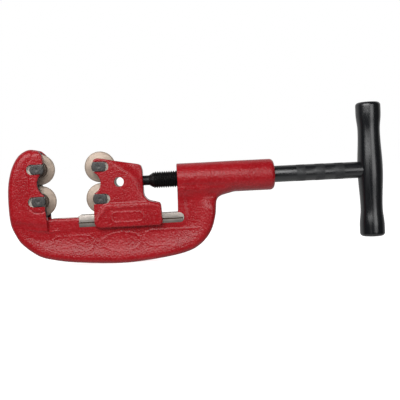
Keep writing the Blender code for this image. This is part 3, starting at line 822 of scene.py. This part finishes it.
def slide_side(carving):
    """Half width of the slide over the XZ plane: cheeks, skirts and the raised oval rim."""
    x, z = carving.plane_x, carving.plane_z
    crown = [(-74.0, 22.9), (-70.6, 20.6), (-59.8, 13.9), (-50.1, 6.4), (-45.5, -1.9),
             (-44.0, -14.1), (-43.0, -40.0)]
    crown = carving.outline(curve_through(crown, 5) + [(10.0, -40.0), (10.0, 60.0), (-74.0, 60.0)])
    side = 17.8 - 4.6 * ease(-crown, -1.5, 10.5) * ease(z, -24.0, -4.0)
    skirt = carving.outline([(-96.0, -60.0), (-93.5, -42.0), (-81.6, -25.4), (-79.0, -23.7),
                             (-29.5, -23.7), (-10.0, -29.8), (-10.0, -60.0)])
    side = side + (19.45 - side) * ease(-skirt, -1.6, 2.4)
    panel = carving.outline([(-96.0, -60.0), (-90.0, -44.5), (-79.6, -30.6), (-77.0, -29.2),
                             (-24.5, -29.2), (-23.0, -31.0), (-22.4, -60.0)])
    side = side - 0.55 * ease(-panel, -0.8, 1.0) + 0.1 * np.exp(-((panel - 0.9) / 0.7) ** 2)
    reach_x = np.maximum(np.abs(x + 56.3) - 12.3, 0)
    oval = np.hypot(reach_x, z + 39.0) - 5.4
    side = side + 0.4 * np.exp(-(oval / 0.75) ** 2)
    return side


def build_slide_casting():
    """Slide: two cheeks and two skirts in one casting, then bored and milled."""
    step = size("slide_step")
    c = Carving((-95.0, -21.0, -52.0), (-15.5, 21.0, 29.5), step)
    outline = c.outline(slide_edge())
    bottom = ease(-c.plane_z, 40.0, 47.0)
    solid = c.slab(outline, slide_side(c), 1.5 + 0.9 * bottom)
    channel = c.outline([(-130.0, -34.6), (-26.4, -34.6), (-26.4, -10.0), (20.0, -10.0),
                         (20.0, -90.0), (-130.0, -90.0)])
    solid = corner(solid, -c.slab(channel, 12.75, 0.4), 0.9)
    gap = c.outline(wheel_gap(SLIDE_WHEEL_X, SLIDE_GAP_R, 1, -130.0, -60.0))
    solid = corner(solid, -c.slab(gap, FORK_HALF, 0.4), 1.0)
    piece = cast("cast_slide", c, solid, lambda x, y, z: 0.05, "slide", "slide_casting")
    bore = rod((-20, 0, 0), (-56, 0, 0), 5.85)
    retainers = [rod((SPRING_PIN_X, y, -13.3), (SPRING_PIN_X, y, 40), SPRING_PIN_R + 0.2, 24)
                 for y in (-SPRING_PIN_Y, SPRING_PIN_Y)]
    cross_hole = rod((CROSS_HOLE_X, -30, 0), (CROSS_HOLE_X, 30, 0), CROSS_HOLE_R)
    iron = shared(milled_cast_iron)
    seats = pin_seats(SLIDE_WHEEL_X, SLIDE_SLOT_BACK, -110.0)
    carve(piece, seats + [bore, cross_hole], iron)
    carve(piece, pin_holes(SLIDE_WHEEL_X) + retainers, iron)
    # painted shade: near-black enamel inside the slide's fork and on the edges of its mouth
    grease_fork(piece, SLIDE_WHEEL_X, -20.0, -1)
    piece.data.set_sharp_from_angle(angle=math.radians(SHARP_DEG))


def wheel_centre(node):
    """Where a wheel turns, in millimetres from the feed line."""
    return (Vector(JOINTS[node + "_spin"]["pos_m"]) - FEED_LINE) / MM


def build_wheels():
    """Cutting wheels: a ground knife edge on a disc, with a shouldered hub each side."""
    radius = size("wheel_radius")
    half = [(-HUB_HALF, 5.05), (-HUB_HALF, HUB_R - 0.9), (-HUB_HALF + 0.25, HUB_R - 0.25),
            (-HUB_HALF + 0.9, HUB_R), (-2.6, HUB_R), (-1.9, HUB_R + 0.2), (-1.6, HUB_R + 0.8),
            (-1.15, radius - 1.9), (-0.95, radius - 1.3), (-0.2, radius - 0.12), (-0.08, radius)]
    section = half + [(-a, r) for a, r in reversed(half)]
    steel = shared(turned_tool_steel)
    for node, body in WHEELS.items():
        mesh = in_metres(node + "_steel", turned(section, 144, (0, 1, 0), closed=True), steel)
        piece = dress(mesh.name, mesh, body, [node], wheel_centre(node), 28)
        # hub faces take the dark brown grease steel: old grease and painted shade beside the cheeks
        piece.data.materials.append(shared(grease_and_shade_steel))
        for face in piece.data.polygons:
            out = math.hypot(face.center.x, face.center.z) / MM
            face.material_index = int(out < HUB_R + 0.15)


def head_outline():
    """Round head with two flats."""
    deg = math.degrees(math.asin(HEAD_FLAT / HEAD_R))
    return arc(0, 0, HEAD_R, -deg, deg, 20) + arc(0, 0, HEAD_R, 180 - deg, 180 + deg, 20)


def clip_outline():
    """Open ring with three lugs that grip a pin's groove."""
    grip, relief = 4.1, 5.1
    loop = arc(0, 0, 7.3, -64, 244, 48)
    for radius, start, stop, steps in ((grip, 244, 232, 6), (relief, 242, 118, 10),
                                       (grip, 102, 78, 6), (relief, 62, -62, 10),
                                       (grip, -52, -64, 6)):
        loop += arc(0, 0, radius, start, stop, steps)
    return loop


def build_pins():
    """Wheel pins with double-flat heads, each held by a clip behind the far cheek."""
    steel = shared(heat_treated_steel)
    spring = shared(bright_spring_steel)
    far = CHEEK_HALF + 0.8
    groove = CHEEK_HALF - SLOT_DEPTH + 0.3
    under = -CHEEK_HALF + SLOT_DEPTH - 0.3
    top = -CHEEK_HALF - HEAD_PROUD
    for node in WHEELS:
        place, _, end = node.split("_")
        body = "frame" if place == "jaw" else "slide"
        centre = wheel_centre(node)
        head = bevelled(prism(head_outline(), top, under), 0.45, 3)
        shank = turned([(under - 1.0, PIN_R), (groove, PIN_R), (groove, 3.8), (groove + 1.8, 3.8),
                        (groove + 1.8, PIN_R), (far - 0.7, PIN_R), (far - 0.2, PIN_R - 0.25),
                        (far, PIN_R - 0.9)], 64, (0, 1, 0))
        mesh = in_metres(f"{place}_pin_{end}_steel", head, steel)
        pin = dress(mesh.name, mesh, body, [f"{place}_pin_{end}"], centre, 30)
        carve(pin, [shank], steel, "UNION")
        dimple = turned([(0.0, 0.02), (0.5, 1.5), (2.0, 6.0)], 32, (0, -1, 0))
        bmesh.ops.translate(dimple, vec=(0, top + 0.45, 0), verts=dimple.verts)
        ring = turned([(0.0, 3.4), (1.0, 2.9), (1.0, 4.4), (0.0, 3.9)], 64, (0, -1, 0), closed=True)
        bmesh.ops.translate(ring, vec=(0, top + 0.18, 0), verts=ring.verts)
        carve(pin, [dimple, ring], steel)
        pin.data.set_sharp_from_angle(angle=math.radians(30))

        clip = bevelled(prism(clip_outline(), groove + 0.3, groove + 1.5), 0.15, 1)
        mesh = in_metres(f"{place}_clip_{end}_spring", clip, spring)
        dress(mesh.name, mesh, body, [f"{place}_clip_{end}"], centre, 30)


def thread_radius(along, turn, pitch, crest):
    """Radius of a right-hand 60 degree thread at a distance along it and a turn about it."""
    phase = (along / pitch - turn / (2 * math.pi)) % 1.0
    depth = THREAD_DEPTH * pitch
    fall = np.clip((np.abs(phase - 0.5) * 2 - 0.125) / 0.75, 0, 1)
    return crest - depth * fall


def build_feed_screw():
    """Feed screw: grooved nose, cone, rolled thread, and a shank with three dull bands."""
    crest, pitch = size("crest"), size("pitch")
    sides = 72
    bands = [140.3, 162.3, 184.3]
    nose = [(-53.1, 4.5), (-52.1, NOSE_R), (-49.7, NOSE_R), (-49.69, 4.1), (-45.1, 4.1),
            (-45.09, NOSE_R), (-33.5, NOSE_R), (-32.0, NOSE_R)]
    shank = [(THREAD_END + 0.4, SHANK_R - 0.6), (THREAD_END + 1.4, SHANK_R)]
    for band in bands:
        shank += [(band - 5.2, SHANK_R), (band - 4.6, SHANK_R + 0.1), (band + 4.6, SHANK_R + 0.1),
                  (band + 5.2, SHANK_R)]
    shank += [(SHANK_END - 1.0, SHANK_R), (SHANK_END, SHANK_R - 1.0)]
    nose, shank = np.array(nose), np.array(shank)
    along = np.arange(CONE_START, THREAD_END, pitch / 12)
    turns = np.arange(sides) / sides * 2 * math.pi
    cone = NOSE_R + (crest - NOSE_R) * np.clip((along - CONE_START) / 6.7, 0, 1)
    cut = thread_radius(along[:, None], turns[None, :], pitch, crest)
    xs = np.concatenate([nose[:, 0], along, shank[:, 0]])
    radii = np.concatenate([np.repeat(nose[:, 1:], sides, 1), np.minimum(cut, cone[:, None]),
                            np.repeat(shank[:, 1:], sides, 1)])
    points = np.stack([np.broadcast_to(xs[:, None], radii.shape), radii * np.cos(turns),
                       radii * np.sin(turns)], -1).reshape(-1, 3) * MM
    rows, cols = np.meshgrid(np.arange(len(xs) - 1), np.arange(sides), indexing="ij")
    after = (cols + 1) % sides
    quads = np.stack([rows * sides + cols, rows * sides + after, (rows + 1) * sides + after,
                      (rows + 1) * sides + cols], -1).reshape(-1, 4)
    caps = [list(range(sides))[::-1], list(range((len(xs) - 1) * sides, len(xs) * sides))]
    mesh = bpy.data.meshes.new("threaded_screw")
    mesh.from_pydata(points.tolist(), [], quads.tolist() + caps)
    mesh.validate()
    bm = bmesh.new()
    bm.from_mesh(mesh)
    bmesh.ops.recalc_face_normals(bm, faces=bm.faces)
    bm.to_mesh(mesh)
    bm.free()
    dress("threaded_screw", mesh, "screw", ["feed_screw"])
    mesh.materials.append(shared(oiled_black_oxide))
    mesh.materials.append(shared(black_enamel, "black_enamel_on_shank", (0.12, 1, 1), 0.3))
    mesh.materials.append(shared(black_enamel, "dull_enamel_bands", (0.5, 1, 1), 0.55))
    mesh.materials.append(shared(heat_treated_steel))
    for face in mesh.polygons:
        x = face.center.x / MM
        on_band = any(abs(x - band) < 5.0 for band in bands)
        thread_or_nose = 3 if x < BARE_NOSE_END else 0
        on_shank = 2 if on_band else 1
        face.material_index = thread_or_nose if x < THREAD_END + 1 else on_shank


def build_retainers():
    """Slotted spring pins that hold the screw's nose, and the hardened button behind it."""
    spring = shared(bright_spring_steel)
    slit_deg = 14
    loop = (arc(0, 0, SPRING_PIN_R, slit_deg, 360 - slit_deg, 28)
            + arc(0, 0, 1.0, 360 - slit_deg, slit_deg, 24))
    for tag, y in (("near", -SPRING_PIN_Y), ("far", SPRING_PIN_Y)):
        bm = bevelled(prism(loop, -13.0, 19.0), 0.18, 1, 60)
        bmesh.ops.rotate(bm, cent=(0, 0, 0), matrix=Matrix.Rotation(math.pi / 2, 3, "X"),
                         verts=bm.verts)
        mesh = in_metres(f"spring_pin_{tag}", bm, spring)
        dress(mesh.name, mesh, "slide", [f"screw_retaining_pin_{tag}"],
              (SPRING_PIN_X, y, 0), 30)
    button = turned([(0.0, 4.6), (0.35, 5.2), (0.6, 5.4), (1.6, 5.4), (2.2, 4.6), (2.3, 3.0)], 64,
                    (1, 0, 0))
    mesh = in_metres("nose_button", button, shared(heat_treated_steel))
    dress("nose_button", mesh, "slide", ["thrust_button"], (-55.7, 0, 0), 30)


def bar_radius(z):
    """T-bar's radius: full at the middle, waisted, then full again near the ends."""
    belly, waist, bulge, waist_z, bulge_z = 14.15, 12.4, 14.0, 44.0, 64.5
    z = abs(z)
    if z < waist_z:
        return belly + (waist - belly) * (0.5 - 0.5 * math.cos(math.pi * z / waist_z))
    t = min(1.0, (z - waist_z) / (bulge_z - waist_z))
    return waist + (bulge - waist) * (0.5 - 0.5 * math.cos(math.pi * t))


def build_handle():
    """T-handle: a forged and enamelled bar, cross-bored for the shank, with its set screw."""
    round_off = 4.0
    straight = BAR_HALF - round_off
    ends = [(straight + round_off * math.sin(a), 14.0 - round_off + round_off * math.cos(a))
            for a in np.radians(np.arange(10, 91, 10))]
    profile = ([(-z, r) for z, r in reversed(ends)]
               + [(z, bar_radius(z)) for z in np.linspace(-straight, straight, 90)] + ends)
    enamel = shared(black_enamel, "black_enamel_on_forged_bar", (1, 1, 0.06), 0.26)
    mesh = in_metres("forged_t_bar", turned(profile, 128, (0, 0, 1)), enamel)
    piece = dress("forged_t_bar", mesh, "screw", ["t_handle"], (BAR_X, 0, 0))
    for bore in (rod((-40, 0, 0), (SHANK_END + 0.3 - BAR_X, 0, 0), BAR_BORE_R, 96),
                 rod((-6, 9.9, 0), (-6, 30, 0), 3.3, 32)):
        carve(piece, [bore], shared(oiled_black_oxide))
    piece.data.set_sharp_from_angle(angle=math.radians(40))

    blank = turned([(9.6, 2.2), (10.2, 3.0), (12.0, 3.0), (12.4, 2.7)], 48, (0, 1, 0))
    mesh = in_metres("socket_set_screw", blank, shared(heat_treated_steel))
    screw = dress("socket_set_screw", mesh, "screw", ["handle_set_screw"],
                  (BAR_X - 6, 0, 0), 30)
    socket = [(1.7 * math.cos(a), 1.7 * math.sin(a)) for a in np.radians(np.arange(0, 360, 60))]
    carve(screw, [prism(socket, 10.6, 30)], shared(heat_treated_steel))


# ---- studio ----

def area_light(name, place, aim, width, height, power):
    """Softbox at place that faces aim and stays out of the camera's sight."""
    lamp = bpy.data.lights.new(name, "AREA")
    lamp.shape = "RECTANGLE"
    lamp.size, lamp.size_y = width, height
    lamp.energy = power
    light = in_scene(name, lamp)
    light.location = place
    light.rotation_euler = (Vector(aim) - Vector(place)).to_track_quat("-Z", "Y").to_euler()
    light.visible_camera = False


def pale_floor():
    """Lit acrylic table: an even white glow under a matt top that takes only faint shadows."""
    material, tree, shader, coords = blank_material("lit_acrylic_table", {
        "Roughness": 0.9, "Specular IOR Level": 0.1, "Emission Color": (1, 1, 1, 1),
        "Emission Strength": 0.85})
    dust = add(tree, "ShaderNodeTexNoise", {"Scale": 6.0, "Detail": 2.0}, {"Vector": coords})
    shade = add(tree, "ShaderNodeMapRange", {"To Min": 0.86, "To Max": 0.90},
                {"Value": dust.outputs["Fac"]})
    plug(tree, shader, {}, {"Base Color": shade.outputs["Result"]})
    return material


def build_stage():
    """Pale floor, soft light from above and in front, and the camera."""
    scene = bpy.context.scene
    bm = bmesh.new()
    bmesh.ops.create_circle(bm, cap_ends=True, segments=96, radius=30.0)
    mesh = bpy.data.meshes.new("floor")
    bm.to_mesh(mesh)
    bm.free()
    floor = in_scene("floor", mesh)
    floor.location = (0, 0, -0.0004)
    floor.visible_diffuse = False
    floor.visible_glossy = False
    mesh.materials.append(pale_floor())

    world = bpy.data.worlds.new("studio")
    scene.world = world
    world.use_nodes = True
    tree = world.node_tree
    seen = tree.nodes["Background"]
    plug(tree, seen, {"Color": (1, 1, 1, 1), "Strength": 1.0})
    coords = add(tree, "ShaderNodeTexCoord")
    axes = add(tree, "ShaderNodeSeparateXYZ", {}, {"Vector": coords.outputs["Generated"]})
    glow = add(tree, "ShaderNodeMapRange", {"From Min": 0.05, "From Max": 0.5, "To Min": 0.06,
               "To Max": 0.6}, {"Value": axes.outputs["Y"]})
    bounce = add(tree, "ShaderNodeMapRange", {"From Min": -0.35, "From Max": -0.8, "To Min": 0.06,
                 "To Max": 0.6}, {"Value": axes.outputs["Z"]})
    both = add(tree, "ShaderNodeMath", {}, {0: glow.outputs["Result"],
               1: bounce.outputs["Result"]}, operation="MAXIMUM")
    room = add(tree, "ShaderNodeBackground", {"Color": (1, 1, 1, 1)},
               {"Strength": both.outputs["Value"]})
    path = add(tree, "ShaderNodeLightPath")
    mix = add(tree, "ShaderNodeMixShader", {}, {0: path.outputs["Is Camera Ray"],
              1: room.outputs["Background"], 2: seen.outputs["Background"]})
    plug(tree, tree.nodes["World Output"], {}, {"Surface": mix.outputs["Shader"]})

    area_light("front_softbox", (-0.48, -1.08, 0.75), (-0.05, 0, 0.06), 1.4, 0.9, 18.5)
    area_light("side_panel", (0.55, -1.05, 0.2), (0.2, 0, 0.09), 0.6, 0.6, 2.6)

    tilt, sensor = math.radians(2.83), 36.0
    foot = FEED_LINE + Vector((-9.9, 0, 5.2)) * MM
    aim = FEED_LINE + Vector((25.1, 0, -25.15)) * MM
    distance = 0.75
    view_width = 452.0 * MM
    camera = in_scene("camera", bpy.data.cameras.new("camera"))
    camera.location = foot + Vector((0, -distance, 0))
    back = (camera.location - aim).normalized()
    right = Vector((math.sin(tilt), 0, math.cos(tilt))).cross(back).normalized()
    up = back.cross(right)
    camera.rotation_euler = Matrix((right, up, back)).transposed().to_euler()
    camera.data.sensor_width = sensor
    camera.data.lens = sensor * (camera.location - aim).length / view_width
    camera.data.clip_start = 0.02
    scene.camera = camera
    scene.view_settings.view_transform = "Standard"


# ---- operators, panel and registration ----

class PIPECUTTER_OT_frame(bpy.types.Operator):
    """Make the cast frame with its planed ways and milled pin slots"""
    bl_idname = "pipecutter.frame"
    bl_label = "Frame Casting"

    def execute(self, context):
        build_frame_casting()
        return {"FINISHED"}


class PIPECUTTER_OT_slide(bpy.types.Operator):
    """Make the cast slide with its skirts and milled pin slots"""
    bl_idname = "pipecutter.slide"
    bl_label = "Slide Casting"

    def execute(self, context):
        build_slide_casting()
        return {"FINISHED"}


class PIPECUTTER_OT_wheels(bpy.types.Operator):
    """Make the four cutting wheels"""
    bl_idname = "pipecutter.wheels"
    bl_label = "Cutting Wheels"

    def execute(self, context):
        build_wheels()
        return {"FINISHED"}


class PIPECUTTER_OT_pins(bpy.types.Operator):
    """Make the four wheel pins and their clips"""
    bl_idname = "pipecutter.pins"
    bl_label = "Wheel Pins"

    def execute(self, context):
        build_pins()
        return {"FINISHED"}


class PIPECUTTER_OT_feed_screw(bpy.types.Operator):
    """Make the feed screw with its thread and banded shank"""
    bl_idname = "pipecutter.feed_screw"
    bl_label = "Feed Screw"

    def execute(self, context):
        build_feed_screw()
        return {"FINISHED"}


class PIPECUTTER_OT_retainers(bpy.types.Operator):
    """Make the spring pins and the button at the screw's nose"""
    bl_idname = "pipecutter.retainers"
    bl_label = "Screw Retainers"

    def execute(self, context):
        build_retainers()
        return {"FINISHED"}


class PIPECUTTER_OT_handle(bpy.types.Operator):
    """Make the T-handle and its set screw"""
    bl_idname = "pipecutter.handle"
    bl_label = "T-Handle"

    def execute(self, context):
        build_handle()
        return {"FINISHED"}


class PIPECUTTER_OT_stage(bpy.types.Operator):
    """Make the floor, the lights and the camera"""
    bl_idname = "pipecutter.stage"
    bl_label = "Studio"

    def execute(self, context):
        build_stage()
        return {"FINISHED"}


OPERATORS = (PIPECUTTER_OT_frame, PIPECUTTER_OT_slide, PIPECUTTER_OT_wheels, PIPECUTTER_OT_pins,
             PIPECUTTER_OT_feed_screw, PIPECUTTER_OT_retainers, PIPECUTTER_OT_handle,
             PIPECUTTER_OT_stage)


class PIPECUTTER_PT_pieces(bpy.types.Panel):
    """Lists the colours, the sizes and the pieces"""
    bl_label = "Pipe Cutter"
    bl_space_type = "VIEW_3D"
    bl_region_type = "UI"
    bl_category = "Pipe Cutter"

    def draw(self, context):
        scene = context.scene
        for group in (scene.pipe_cutter_colours, scene.pipe_cutter_sizes):
            box = self.layout.box()
            for key in group.__annotations__:
                box.prop(group, key)
        for operator in OPERATORS:
            self.layout.operator(operator.bl_idname)


CLASSES = (PipeCutterColours, PipeCutterSizes) + OPERATORS + (PIPECUTTER_PT_pieces,)


def register():
    for cls in CLASSES:
        bpy.utils.register_class(cls)
    bpy.types.Scene.pipe_cutter_colours = bpy.props.PointerProperty(type=PipeCutterColours)
    bpy.types.Scene.pipe_cutter_sizes = bpy.props.PointerProperty(type=PipeCutterSizes)


def unregister():
    del bpy.types.Scene.pipe_cutter_sizes
    del bpy.types.Scene.pipe_cutter_colours
    for cls in reversed(CLASSES):
        bpy.utils.unregister_class(cls)


def main():
    """Make every piece, then the studio."""
    register()
    bpy.ops.pipecutter.frame()
    bpy.ops.pipecutter.slide()
    bpy.ops.pipecutter.wheels()
    bpy.ops.pipecutter.pins()
    bpy.ops.pipecutter.feed_screw()
    bpy.ops.pipecutter.retainers()
    bpy.ops.pipecutter.handle()
    bpy.ops.pipecutter.stage()


if __name__ == "__main__":
    main()
